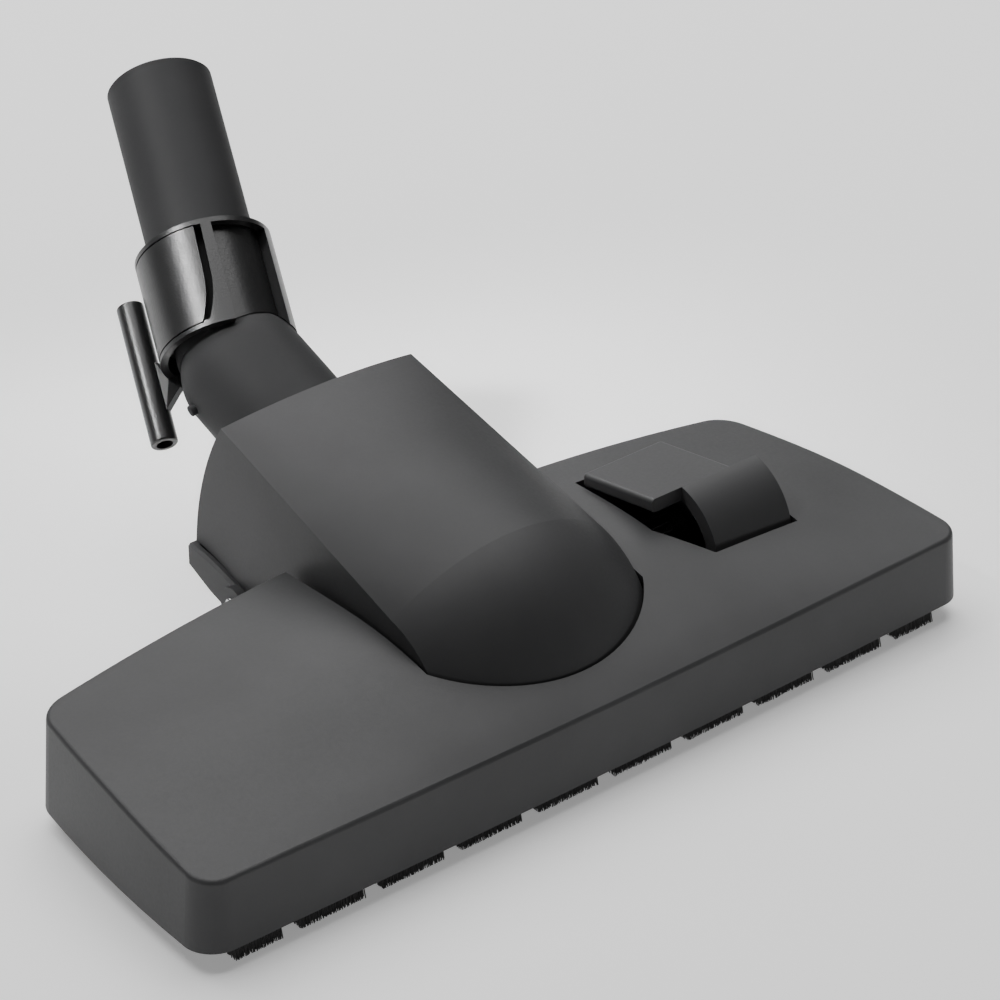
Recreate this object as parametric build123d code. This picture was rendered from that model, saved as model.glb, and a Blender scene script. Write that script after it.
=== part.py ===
from build123d import *
import math
import os

# A vacuum cleaner's floor brush head, in millimetres.
# While it is being built, X runs along the head, Y points to the rear, Z points up,
# the floor is Z = 0 and Y = 0 is the line of the front corners.
# At the end the whole part moves along Y, so that its origin is the middle of its footprint.

# Head shell
HEAD_LENGTH = 280.0
HEAD_DEPTH = 91.0
REAR_HALF = 127.5
FRONT_BOW = 1.5
REAR_BOW = 4.5
END_BULGE = 2.2
FRONT_CORNER_R = 9.0
REAR_CORNER_R = 12.0
SHELL_WALL = 2.2
SHELL_DRAFT = 3.5
CREASE_HEIGHT = 21.0
CREASE_Y = 1.5
CROWN_RISE = 16.0
CROWN_FALL = 9.0
CREASE_R = 1.4
TOP_SHARES = [(-8.0, -0.35), (CREASE_Y, 0.0), (22.0, 0.47), (45.0, 0.86), (75.0, 1.0), (104.0, 1.04)]

# Bristles and the frame that lifts them
BRISTLE_REACH = 6.0
BRISTLE_PITCH = 27.5
BRISTLE_WIDTH = 21.7
BRISTLE_DEPTH = 3.6
FRONT_BRISTLE_Y = 5.5
REAR_BRISTLE_Y = 78.0
FRONT_BRISTLE_END = HEAD_LENGTH / 2 - 11.5
REAR_BRISTLE_END = REAR_HALF - 5.5
BRISTLE_GAP = 0.5
LIFT_TRAVEL = 6.5
BAR_NOTCH_GAP = 0.6
BAR_THICKNESS = 2.5
BAR_SIDE = 0.5
SIDE_BAR_X = REAR_HALF - 6.0
SIDE_BAR_WIDTH = 4.0

# Sole plate and lint strips
SOLE_THICKNESS = 2.8
SOLE_GAP = 0.45
SOLE_DROP = 0.5
MOUTH_HALF = SIDE_BAR_X - 11.5
MOUTH_Y = (31.0, 45.0)
LINT_WIDTH = 4.0
LINT_THICKNESS = 0.9
LINT_HALF = MOUTH_HALF - 6.0
RUNNER_WIDTH = 2.0
RUNNER_DROP = 1.4
RUNNER_X = (50.0, LINT_HALF - 6.0)
RUNNERS_Y = (23.0, 63.0)
MOUTH_MIDDLE_Y = (28.0, 62.0)
GROOVE_WIDTH = 6.0
GROOVE_DEPTH = 1.2

# Tilting joint
PIVOT_Y = 55.0
PIVOT_Z = 18.0
FORM_ANGLE = 16.0
COVER_HALF = 38.6
COVER_SIDE = 29.4
COVER_MIDDLE = 44.4
COVER_WALL = 2.4
REAR_HALF_WIDTH = COVER_HALF - 4.6
REAR_SIDE = 33.4
REAR_MIDDLE = 34.6
FORM_REACH = 100.0
POCKET_GAP = 0.9
POCKET_WALL = 2.0
TILT_PIN_BOSS = 4.5
EYE_R = 8.5
TILT_PIN_R = 3.0
TILT_PIN_BOSS_R = 6.0
VISOR = [(14.0, 29.0), (30.0, 25.0), (64.0, 21.0)]
SEAM_GAP = 0.3
SEAM = [(75.4, 23.0), (111.0, 21.6), (125.5, 27.4), (139.4, 30.2)]
REAR_ARC = [(139.6, 28.0), (134.6, 54.0), (121.0, 78.5)]
REAR_WALL = 3.0
BEYOND = REAR_ARC[0][0] + 20.4
ABOVE = REAR_ARC[-1][1] + 51.5
BELOW = -BEYOND / 4

# Joint base, axle and wheels
BASE_HALF = COVER_HALF - 1.3
BASE_WALL = 2.2
BASE_LOW = [(88.0, 19.0), (94.0, 13.0), (104.0, 12.5), (119.4, 13.7), (130.8, 17.9), (140.0, 22.6)]
AXLE_Y = 118.0
AXLE_R = 2.2
AXLE_HALF = COVER_HALF + 1.4
BOSS_R = 5.3
BOSS_OUT = 1.8
WHEEL_R = 20.0
WHEEL_WIDTH = 15.6
WHEEL_GAP = 0.5
WELL_WALL = 1.2
BASE_EDGE_R = 0.8
SEAM_BOSS_Z = (24.0, 28.4)
SCREW_SEAT = 3.0
RIB_HALF = 3.0

# Suction duct and its seal
DUCT_HALF = COVER_HALF - 3.4
MOUTH_MIDDLE_HALF = DUCT_HALF - 9.2
DUCT_FRONT = 20.0
DUCT_WALL = 1.8
DUCT_TOP = 32.0
TUNNEL_TOP = 17.5
NECKING_TOP = 13.0
NECKING_END = COVER_HALF + 4.0
TUNNEL_HALF = MOUTH_HALF + 4.0
SEAL_R = 20.0
SEAL_THICKNESS = 1.8
SEAL_GAP = 0.5
DUCT_GAP = 0.6
DUCT_NOTCH_GAP = 0.4

# Neck: the elbow turns about an axis that leans back from the joint
NECK_Y = 166.0
NECK_Z = 67.8
NECK_LEAN = 23.0
NECK_BEND = 23.5
NECK_SWIVEL = 53.0
ELBOW_R = 19.1
ELBOW_WALL = 2.0
BALL_DROP = 8.0
SOCKET_STEP = -36.0
SOCKET_WEB = 2.6
JOURNAL_R = 17.0
FLANGE_R = 18.3
FLANGE_THICKNESS = 2.0
SWIVEL_GAP = 0.3
WASHER_THICKNESS = 0.8
STUD_R = 2.6
STUD_OUT = 2.8
STUD_ANGLE = -127.0
SPIGOT_R = 16.0
SPIGOT_WALL = 2.2
SPIGOT_TOP = 93.5
SEAT_R = 15.7

# Locking collar, hook and latch, with angles about the spigot
COLLAR_R = 20.6
COLLAR_WALL = 2.3
COLLAR_BOTTOM = 1.4
COLLAR_TOP = 35.4
COLLAR_RIM = 1.6
FACING = -78.0
WINDOW_END = 68.0
RIB = (5.0, 12.0)
BUTTON = (-92.0, -4.0)
BUTTON_TOP = 1.9
BUTTON_BOTTOM = 1.8
BUTTON_THICKNESS = 1.9
BUTTON_SWEEP = 6.0
RIB_LEAD = 2.2
BUTTON_GAP = 0.5
BUTTON_START_GAP = 0.9
PRESS_ANGLE = -60.0
LATCH_LEAF_WIDTH = 6.0
LATCH_LEAF_TURN = 26.0
LATCH_TIP = 1.2
HOOK_ANGLE = 168.0
HOOK_OFFSET = 27.5
HOOK_R = 4.1
HOOK_BORE = 2.5
HOOK_BOTTOM = -17.0
HOOK_TOP = 29.5
FIN_THICKNESS = 2.4
FIN_TOP = 6.0
WAND_WALL = 1.4
SIDE_WALL_TURN = 22.0
COLLAR_SEAT = (8.0, 10.5)

# Pedal
PEDAL_PIN_Y = 52.0
PEDAL_PIN_Z = 33.0
PEDAL_PIN_R = 1.5
PEDAL_PLATE_X = (57.0, 88.0)
PEDAL_ARCH_X = (68.5, 97.7)
PEDAL_THICKNESS = 4.4
PEDAL_EDGE_R = 1.3
PEDAL_REAR = (76.0, 45.0)
PEDAL_RIDGE = (46.5, 48.5)
PEDAL_ARCH_MID = (37.0, 43.0)
PEDAL_FRONT = (31.0, 31.5)
PEDAL_GAP = 0.8
PEDAL_STEP_Y = 50.0
PEDAL_SLANT_X = 66.0
PEDAL_HUB_R = 4.2
PEDAL_HUB_X = (71.5, 84.0)
ARM_X = (79.6, 84.0)
ARM_TIP_Z = 12.3
ARM_TIP_Y = 6.2
ARM_THICKNESS = 2.5
STAPLE_GAP = 0.5
STAPLE_LEG = 1.3
STAPLE_TOP = 17.5
PEDAL_BACK_GAP = 2.2
PEDAL_WALL_Z = PEDAL_PIN_Z - 5.0
PEDAL_PIN_X = (PEDAL_PLATE_X[0] - PEDAL_GAP - 1.8, PEDAL_PLATE_X[1] + PEDAL_GAP + 1.8)
SPRING_X = (73.0, 79.0)
LEAF = 0.5

# Fasteners
SCREW_R = 1.5
SCREW_HEAD_R = 3.0
SCREW_HEAD_H = 1.6
SCREW_BOSS_R = 4.0
SCREW_BITE = 8.0
SHELL_SCREWS = [(MOUTH_HALF - 2.0, 22.0), (MOUTH_HALF - 2.0, 64.0), (COVER_HALF + 8.4, 68.0)]
JOINT_SCREWS = [(COVER_HALF - 10.1, 98.0), (COVER_HALF - 10.1, 127.0)]
FIT = 0.05

# Heights that follow from the sizes above
SHELL_EDGE_Z = BRISTLE_REACH
SOLE_BOTTOM = SHELL_EDGE_Z - SOLE_DROP
SOLE_TOP = SOLE_BOTTOM + SOLE_THICKNESS
BAR_BOTTOM = SOLE_TOP + 0.4
BAR_TOP = BAR_BOTTOM + BAR_THICKNESS

PIVOT_AXIS = Axis((0, PIVOT_Y, PIVOT_Z), (1, 0, 0))


def polygon_yz(points, x0, x1):
    """A closed outline of (y, z) points, extruded from x0 to x1."""
    face = make_face(Polyline([(0, y, z) for y, z in points], close=True))
    return Pos(x0, 0, 0) * extrude(face, amount=x1 - x0, dir=(1, 0, 0))


def rod_x(radius, y, z, x0, x1):
    """A round bar along X."""
    return Pos((x0 + x1) / 2, y, z) * Rot(0, 90, 0) * Cylinder(radius, x1 - x0)


def block(x, y, z):
    """A box given by its three ranges."""
    size = [r[1] - r[0] for r in (x, y, z)]
    middle = [(r[1] + r[0]) / 2 for r in (x, y, z)]
    return Pos(*middle) * Box(*size)


def both_sides(shape):
    """The shape and its mirror image across the head's middle."""
    return shape + mirror(shape, about=Plane.YZ)


# Head shell

def side_disc(start, end, bulge, inset):
    """Large disc whose edge bulges from start to end, its radius less the inset."""
    chord = Vector(*end) - Vector(*start)
    radius = (chord.length ** 2 / 4 + bulge ** 2) / (2 * bulge)
    inward = Vector(-chord.Y, chord.X).normalized()
    middle = (Vector(*start) + Vector(*end)) / 2 + inward * (radius - bulge)
    return Pos(middle.X, middle.Y) * Circle(radius - inset)


def plan_face(inset):
    """Outline of the head at its lower edge, moved in by the inset."""
    front = HEAD_LENGTH / 2
    corners = [(-front, 0), (front, 0), (REAR_HALF, HEAD_DEPTH), (-REAR_HALF, HEAD_DEPTH)]
    bulges = [FRONT_BOW, END_BULGE, REAR_BOW, END_BULGE]
    face = side_disc(corners[3], corners[0], bulges[3], inset)
    for n in range(3):
        face &= side_disc(corners[n], corners[n + 1], bulges[n], inset)
    face = fillet(face.vertices().sort_by(Axis.Y)[-2:], REAR_CORNER_R - inset)
    face = fillet(face.vertices().sort_by(Axis.Y)[:2], FRONT_CORNER_R - inset)
    arcs = [ThreePointArc(e @ 0, e @ 0.5, e @ 1) for e in face.edges()]
    return Pos(0, 0, SHELL_EDGE_Z) * make_face(arcs)


def crowned_block(drop):
    """Everything below the head's crowned top, lowered by the drop."""
    stations = [n * (HEAD_LENGTH / 2 + 10) / 3 for n in range(-3, 4)]
    sections = []
    for x in stations:
        rise = CROWN_RISE - CROWN_FALL * (x / (REAR_HALF + 0.5)) ** 2
        base = SHELL_EDGE_Z + CREASE_HEIGHT - drop
        top = [(x, y, base + rise * share) for y, share in TOP_SHARES]
        first, last = top[0], top[-1]
        low = -20.0
        edges = [
            Spline(*top),
            Line(last, (x, last[1], low)),
            Line((x, last[1], low), (x, first[1], low)),
            Line((x, first[1], low), first),
        ]
        sections.append(make_face(edges))
    return loft(sections)


def head_form(inset):
    """Solid of the drafted plan under the crowned top."""
    height = CREASE_HEIGHT + CROWN_RISE + 10
    lean = height * math.tan(math.radians(SHELL_DRAFT))
    walls = loft([plan_face(inset), Pos(0, 0, height) * plan_face(inset + lean)], ruled=True)
    return walls & crowned_block(inset)


# Joint housing form, shared by the cover, the pocket and the duct

def form_plane(reach):
    """Plane across the joint, square to its run, at a distance behind the pivot."""
    lean = math.radians(FORM_ANGLE)
    run = Vector(0, math.cos(lean), math.sin(lean))
    origin = Vector(0, PIVOT_Y, PIVOT_Z) + run * reach
    return Plane(origin=origin, x_dir=(1, 0, 0), z_dir=-run)


def arch_face(plane, half, side, middle, floor):
    """Crowned section of the joint housing on a plane."""
    edges = [
        Line((-half, floor), (half, floor)),
        Line((half, floor), (half, side)),
        ThreePointArc((half, side), (0, middle), (-half, side)),
        Line((-half, side), (-half, floor)),
    ]
    return plane * make_face(edges)


def drum(grow):
    """Front of the housing: its section swept round the pivot, grown or shrunk."""
    face = arch_face(form_plane(0), COVER_HALF + grow, COVER_SIDE + grow, COVER_MIDDLE + grow, 0)
    return revolve(face, axis=PIVOT_AXIS, revolution_arc=170)


def housing_form(grow):
    """Drum at the front, tapering run to the rear."""
    low = -60.0
    front = arch_face(form_plane(0), COVER_HALF + grow, COVER_SIDE + grow, COVER_MIDDLE + grow, low)
    rear = arch_face(form_plane(FORM_REACH), REAR_HALF_WIDTH + grow, REAR_SIDE + grow,
                     REAR_MIDDLE + grow, low)
    return loft([front, rear], ruled=True) + drum(grow)


def neck_axis_plane(distance):
    """Plane square to the swivel axis, at a distance beyond the bend point."""
    lean = math.radians(NECK_LEAN)
    run = Vector(0, math.cos(lean), math.sin(lean))
    origin = Vector(0, NECK_Y, NECK_Z) + run * distance
    return Plane(origin=origin, x_dir=(1, 0, 0), z_dir=run)


def axis_ring(outer, inner, start, end):
    """Ring or bar about the swivel axis."""
    ring = extrude(neck_axis_plane(start) * Circle(outer), amount=end - start)
    if inner:
        ring -= extrude(neck_axis_plane(start - 1) * Circle(inner), amount=end - start + 2)
    return ring


def spigot_frame():
    """Frame of the spigot: its axis is Z, X points away from the swivel axis."""
    lean, bend, turn = (math.radians(a) for a in (NECK_LEAN, NECK_BEND, NECK_SWIVEL))
    axis = Vector(0, math.cos(lean), math.sin(lean))
    upright = Vector(0, -math.sin(lean), math.cos(lean))
    side = upright * math.cos(turn) + Vector(1, 0, 0) * math.sin(turn)
    along = axis * math.cos(bend) + side * math.sin(bend)
    away = side * math.cos(bend) - axis * math.sin(bend)
    return Plane(origin=(0, NECK_Y, NECK_Z), x_dir=away, z_dir=along)


SPIGOT = spigot_frame()


def tube(outer, inner, bottom, top):
    """Tube along Z in a local frame."""
    middle = Pos(0, 0, (bottom + top) / 2)
    wall = middle * Cylinder(outer, top - bottom)
    return wall - middle * Cylinder(inner, top - bottom + 2)


def wedge(start, end, bottom, top):
    """Everything between two angles about the local Z axis, from one height to another."""
    reach = 60.0
    steps = 1 + int(abs(end - start) // 60)
    angles = [math.radians(start + (end - start) * n / steps) for n in range(steps + 1)]
    points = [(0, 0)] + [(reach * math.cos(a), reach * math.sin(a)) for a in angles]
    return Pos(0, 0, bottom) * extrude(make_face(Polyline(points, close=True)), amount=top - bottom)


def around(outer, inner, start, end, bottom, top):
    """Part of a ring in the spigot's frame, from one angle to another."""
    return tube(outer, inner, bottom, top) & wedge(start, end, bottom - 1, top + 1)


# Upper shell

def pedal_opening(grow, low, high):
    """Room for the pedal in the shell's top: slanted on the left, stepped on the right."""
    left, right = PEDAL_PLATE_X[0] - PEDAL_GAP - grow, PEDAL_ARCH_X[1] + PEDAL_GAP + grow
    step = PEDAL_PLATE_X[1] + PEDAL_GAP + grow
    front = PEDAL_FRONT[0] - 2 * PEDAL_GAP - grow
    back = PEDAL_REAR[0] + PEDAL_BACK_GAP + grow
    outline = [
        (left, back), (left, PEDAL_RIDGE[0] - 1), (PEDAL_SLANT_X - grow, front), (right, front),
        (right, PEDAL_STEP_Y + grow), (step, PEDAL_STEP_Y + grow), (step, back),
    ]
    return Pos(0, 0, low) * extrude(make_face(Polyline(outline, close=True)), amount=high - low)


def make_upper_shell():
    """Crowned moulding with the joint's pocket, the pedal's opening and the screw bosses."""
    outer = head_form(0)
    crease = outer.faces().sort_by(Axis.Z)[-1].edges()
    outer = fillet(crease, CREASE_R)
    shell = outer - head_form(SHELL_WALL)
    pocket_x = COVER_HALF + POCKET_GAP
    foot = SOLE_TOP + 0.2
    walls = both_sides(block((pocket_x, pocket_x + POCKET_WALL), (33, 100), (foot, 60)))
    walls += both_sides(rod_x(TILT_PIN_BOSS_R, PIVOT_Y, PIVOT_Z, pocket_x, pocket_x + TILT_PIN_BOSS))
    behind = block((0, HEAD_LENGTH / 2), (PEDAL_ARCH_MID[0], HEAD_DEPTH), (0, 60))
    walls += pedal_opening(POCKET_WALL, PEDAL_WALL_Z, 60) & behind
    for x, y in SHELL_SCREWS:
        walls += both_sides(Pos(x, y, foot + 30) * Cylinder(SCREW_BOSS_R, 60))
    shell += walls & outer
    notch = DUCT_WALL + DUCT_NOTCH_GAP
    shell -= block((-50, 50), (MOUTH_Y[0] - notch, MOUTH_Y[1] + notch), (0, NECKING_TOP + DUCT_NOTCH_GAP))
    bar_half = BRISTLE_DEPTH / 2 + BAR_SIDE + BAR_NOTCH_GAP
    shell -= block((-50, 50), (REAR_BRISTLE_Y - bar_half, REAR_BRISTLE_Y + bar_half),
                   (0, BAR_TOP + LIFT_TRAVEL + BAR_NOTCH_GAP))
    shell -= pedal_opening(0, SOLE_TOP, 60)
    joint_room = drum(POCKET_GAP) & block((-60, 60), (-10, PIVOT_Y), (-30, 80))
    start, end, top = PIVOT_Y - 1, HEAD_DEPTH + 20, PIVOT_Z + 60
    slant = start - (top - PIVOT_Z) * math.tan(math.radians(FORM_ANGLE))
    sides = [(start, 0), (start, PIVOT_Z), (slant, top), (end, top), (end, 0)]
    joint_room += polygon_yz(sides, -pocket_x, pocket_x)
    shell -= joint_room
    shell -= both_sides(rod_x(TILT_PIN_R + FIT, PIVOT_Y, PIVOT_Z, pocket_x - 1, pocket_x + 9))
    shell -= rod_x(PEDAL_PIN_R + FIT, PEDAL_PIN_Y, PEDAL_PIN_Z, PEDAL_PIN_X[0] - 1, PEDAL_PIN_X[1] + 1)
    for x, y in SHELL_SCREWS:
        hole = Pos(x, y, SOLE_TOP + SCREW_BITE / 2) * Cylinder(SCREW_R + FIT, SCREW_BITE + 1)
        shell -= both_sides(hole)
    return shell


# Bristles, lift frame and sole

def bristle_blocks(middle_y, end_x, grow=0.0, bottom=0.0, top=0.0):
    """Blocks of one strip: full ones at the pitch, the outer ones cut to the strip's end."""
    blocks = []
    first = (BRISTLE_PITCH - BRISTLE_WIDTH) / 2
    for n in range(1 + int((end_x - first) // BRISTLE_PITCH)):
        start = first + n * BRISTLE_PITCH
        end = min(start + BRISTLE_WIDTH, end_x)
        half = BRISTLE_DEPTH / 2 + grow
        tuft = block((start - grow, end + grow), (middle_y - half, middle_y + half), (bottom, top))
        blocks += [tuft, mirror(tuft, about=Plane.YZ)]
    return blocks


def make_bristles(middle_y, end_x):
    """One strip of separate bristle blocks, rounded to the head's corners."""
    bounds = extrude(plan_face(SHELL_WALL + SOLE_GAP + BRISTLE_GAP + 0.4), amount=60)
    bounds = Pos(0, 0, -SHELL_EDGE_Z - 10) * bounds
    blocks = bristle_blocks(middle_y, end_x, top=BAR_BOTTOM)
    solids = []
    for tuft in blocks:
        solids += (tuft & bounds).solids()
    return Compound(children=solids)


def make_lift_frame():
    """Flat frame that carries both strips, with the staple that the pedal's arm works in."""
    half = BRISTLE_DEPTH / 2 + BAR_SIDE
    z = (BAR_BOTTOM, BAR_TOP)
    frame = block((-HEAD_LENGTH / 2, HEAD_LENGTH / 2), (FRONT_BRISTLE_Y - half, FRONT_BRISTLE_Y + half), z)
    frame += block((-REAR_BRISTLE_END, REAR_BRISTLE_END),
                   (REAR_BRISTLE_Y - half, REAR_BRISTLE_Y + half), z)
    side_x = (SIDE_BAR_X - SIDE_BAR_WIDTH / 2, SIDE_BAR_X + SIDE_BAR_WIDTH / 2)
    frame += both_sides(block(side_x, (FRONT_BRISTLE_Y, REAR_BRISTLE_Y), z))
    bounds = extrude(plan_face(SHELL_WALL + SOLE_GAP + 0.75), amount=60)
    frame &= bounds
    leg = STAPLE_LEG
    outer_x = (ARM_X[0] - STAPLE_GAP - leg, ARM_X[1] + STAPLE_GAP + leg)
    staple_y = (FRONT_BRISTLE_Y - BRISTLE_DEPTH / 2, FRONT_BRISTLE_Y + BRISTLE_DEPTH / 2)
    staple = block(outer_x, staple_y, (BAR_TOP, STAPLE_TOP))
    staple -= block((outer_x[0] + leg, outer_x[1] - leg), (0, 20), (BAR_TOP, STAPLE_TOP - leg))
    return frame + staple


def make_sole_plate():
    """Bottom plate: suction mouth, bristle slots, air grooves, runners and screw seats."""
    inset = SHELL_WALL + SOLE_GAP
    plate = extrude(Pos(0, 0, SOLE_BOTTOM - SHELL_EDGE_Z) * plan_face(inset), amount=SOLE_THICKNESS)
    for y in RUNNERS_Y:
        plate += both_sides(block(RUNNER_X, (y - RUNNER_WIDTH / 2, y + RUNNER_WIDTH / 2),
                                  (SOLE_BOTTOM - RUNNER_DROP, SOLE_BOTTOM)))
    plate -= block((-MOUTH_HALF, MOUTH_HALF), MOUTH_Y, (0, 20))
    plate -= block((-MOUTH_MIDDLE_HALF, MOUTH_MIDDLE_HALF), MOUTH_MIDDLE_Y, (0, 20))
    groove_y = (sum(MOUTH_Y) / 2 - GROOVE_WIDTH / 2, sum(MOUTH_Y) / 2 + GROOVE_WIDTH / 2)
    groove = block((MOUTH_HALF - 1, HEAD_LENGTH / 2 + 10), groove_y, (0, SOLE_BOTTOM + GROOVE_DEPTH))
    plate -= both_sides(groove)
    for middle_y, end_x in ((FRONT_BRISTLE_Y, FRONT_BRISTLE_END), (REAR_BRISTLE_Y, REAR_BRISTLE_END)):
        for slot in bristle_blocks(middle_y, end_x, grow=BRISTLE_GAP, top=20):
            plate -= slot
    for x, y in SHELL_SCREWS:
        plate -= both_sides(Pos(x, y, SOLE_BOTTOM) * Cylinder(SCREW_R + FIT, 20))
        seat = Pos(x, y, SOLE_BOTTOM + (SCREW_HEAD_H + 0.1) / 2)
        plate -= both_sides(seat * Cylinder(SCREW_HEAD_R + 0.2, SCREW_HEAD_H + 0.1))
    return plate


def make_lint_strips(near, far):
    """Two lengths of pile tape under the sole, one each side of the mouth's middle."""
    strip = block((MOUTH_MIDDLE_HALF + 4, LINT_HALF), (near, far), (SOLE_BOTTOM - LINT_THICKNESS, SOLE_BOTTOM))
    return Compound(children=[strip, mirror(strip, about=Plane.YZ)])


def screw(x, y, seat, length):
    """Screw driven up from below: its head's top face is at the seat."""
    head = Pos(x, y, seat - SCREW_HEAD_H / 2) * Cylinder(SCREW_HEAD_R, SCREW_HEAD_H)
    slot = Pos(x, y, seat - SCREW_HEAD_H) * Box(1.0, 2.2 * SCREW_HEAD_R / 1.6, 1.2)
    shank = Pos(x, y, seat + length / 2) * Cylinder(SCREW_R, length)
    return head + shank - slot


def screw_set(screws):
    """Screws on both sides of the head, as one group of separate solids."""
    solids = []
    for one in screws:
        solids += [one, mirror(one, about=Plane.YZ)]
    return Compound(children=solids)


# Suction duct and seal

def make_suction_duct():
    """Air box over the mouth: a well under the joint and a tunnel to each side."""
    z = (SOLE_TOP, DUCT_TOP)
    wall = DUCT_WALL
    barrel = SEAL_R - SEAL_THICKNESS - FIT
    outer = block((-DUCT_HALF, DUCT_HALF), (DUCT_FRONT, PIVOT_Y), z)
    outer += rod_x(barrel, PIVOT_Y, PIVOT_Z, -DUCT_HALF, DUCT_HALF) & block((-50, 50), (40, 90), z)
    behind = block((-50, 50), (PIVOT_Y, 90), (0, 60))
    outer &= drum(-COVER_WALL - DUCT_GAP) + behind
    inner_half = DUCT_HALF - wall
    inner = block((-inner_half, inner_half), (DUCT_FRONT + wall, PIVOT_Y), (0, 60))
    inner &= drum(-COVER_WALL - DUCT_GAP - wall) + behind
    inner += rod_x(barrel - wall, PIVOT_Y, PIVOT_Z, -inner_half, inner_half)
    duct = outer - inner
    tunnel_y = (MOUTH_Y[0] - wall, MOUTH_Y[1] + wall)
    duct += both_sides(block((inner_half, TUNNEL_HALF), tunnel_y, (SOLE_TOP, NECKING_TOP)))
    duct += both_sides(block((NECKING_END, TUNNEL_HALF), tunnel_y, (SOLE_TOP, TUNNEL_TOP)))
    air_half = TUNNEL_HALF - wall
    duct -= block((-air_half, air_half), MOUTH_Y, (0, NECKING_TOP - wall))
    duct -= both_sides(block((NECKING_END + wall, air_half), MOUTH_Y, (0, TUNNEL_TOP - wall)))
    return duct


def make_duct_seal():
    """Curved lip behind the duct, which the joint base turns past."""
    half = DUCT_HALF - 0.2
    ring = rod_x(SEAL_R, PIVOT_Y, PIVOT_Z, -half, half)
    ring -= rod_x(SEAL_R - SEAL_THICKNESS, PIVOT_Y, PIVOT_Z, -half - 1, half + 1)
    return ring & block((-50, 50), (PIVOT_Y + 3, 90), (SOLE_TOP + 0.1, DUCT_TOP - 0.5))


# Joint housing

def rear_slab(shift):
    """Everything in front of the cover's rounded rear, moved along Y by the shift."""
    low, middle, high = [(y + shift, z) for y, z in REAR_ARC]
    edges = [
        Polyline([(0, high[0], ABOVE), (0, -BEYOND, ABOVE), (0, -BEYOND, BELOW), (0, low[0], BELOW),
                  (0, *low)]),
        ThreePointArc((0, *low), (0, *middle), (0, *high)),
        Line((0, *high), (0, high[0], ABOVE)),
    ]
    return Pos(-60, 0, 0) * extrude(make_face(edges), amount=120, dir=(1, 0, 0))


def seam_slab(low, shift):
    """Side outline that ends in the seam, from the low line upwards or downwards."""
    seam = [(0, y, z + shift) for y, z in SEAM]
    beyond = (0, BEYOND, seam[3][2])
    edges = [
        Line(seam[0], seam[1]),
        ThreePointArc(seam[1], seam[2], seam[3]),
        Polyline([seam[3], beyond] + [(0, y, z) for y, z in low] + [seam[0]]),
    ]
    return Pos(-60, 0, 0) * extrude(make_face(edges), amount=120, dir=(1, 0, 0))


def boss_top(y):
    """Height where a joint screw's lower boss meets the cover's boss."""
    return SEAM_BOSS_Z[0] if y < AXLE_Y else SEAM_BOSS_Z[1]


def make_joint_cover():
    """Saddle-shaped half: front drum, tapering run, eyes for the tilt pins, neck socket."""
    low = [(BEYOND, ABOVE), (-BEYOND, ABOVE), (-BEYOND, VISOR[0][1])] + VISOR
    outer = housing_form(0) & rear_slab(0)
    body = outer & seam_slab(low, SEAM_GAP / 2)
    inner = housing_form(-COVER_WALL) & rear_slab(-REAR_WALL)
    cover = body - inner
    socket = axis_ring(ELBOW_R + SWIVEL_GAP + COVER_WALL, 0, SOCKET_STEP - SOCKET_WEB, -20)
    cover += socket & body
    for x, y in JOINT_SCREWS:
        boss = Pos(x, y, boss_top(y) + FIT + 30) * Cylinder(SCREW_BOSS_R - 0.6, 60)
        cover += both_sides(boss & outer)
    eye_x = (COVER_HALF - COVER_WALL, COVER_HALF)
    cover += both_sides(rod_x(EYE_R, PIVOT_Y, PIVOT_Z, *eye_x))
    cover -= both_sides(rod_x(TILT_PIN_R + FIT, PIVOT_Y, PIVOT_Z, eye_x[0] - 1, eye_x[1] + 1))
    cover -= axis_ring(ELBOW_R + SWIVEL_GAP, 0, SOCKET_STEP, 10)
    cover -= axis_ring(JOURNAL_R + SWIVEL_GAP, 0, SOCKET_STEP - 20, SOCKET_STEP + 1)
    cover -= axis_ring(FLANGE_R + SWIVEL_GAP, 0, SOCKET_STEP - SOCKET_WEB - 6, SOCKET_STEP - SOCKET_WEB)
    for x, y in JOINT_SCREWS:
        hole = Pos(x, y, boss_top(y) + SCREW_BITE / 2) * Cylinder(SCREW_R + FIT, SCREW_BITE + 1)
        cover -= both_sides(hole)
    return cover


def base_low_line(raise_by, front_by, rear_by):
    """Underside of the joint base from front to rear, moved in by a wall."""
    line = [(SEAM[0][0] - 2, BASE_LOW[0][1])] + BASE_LOW
    moved = [(y, z + raise_by) for y, z in line]
    moved[0] = (moved[0][0] + front_by, moved[0][1])
    moved[-1] = (moved[-1][0] - rear_by, moved[-1][1])
    return moved


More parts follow.
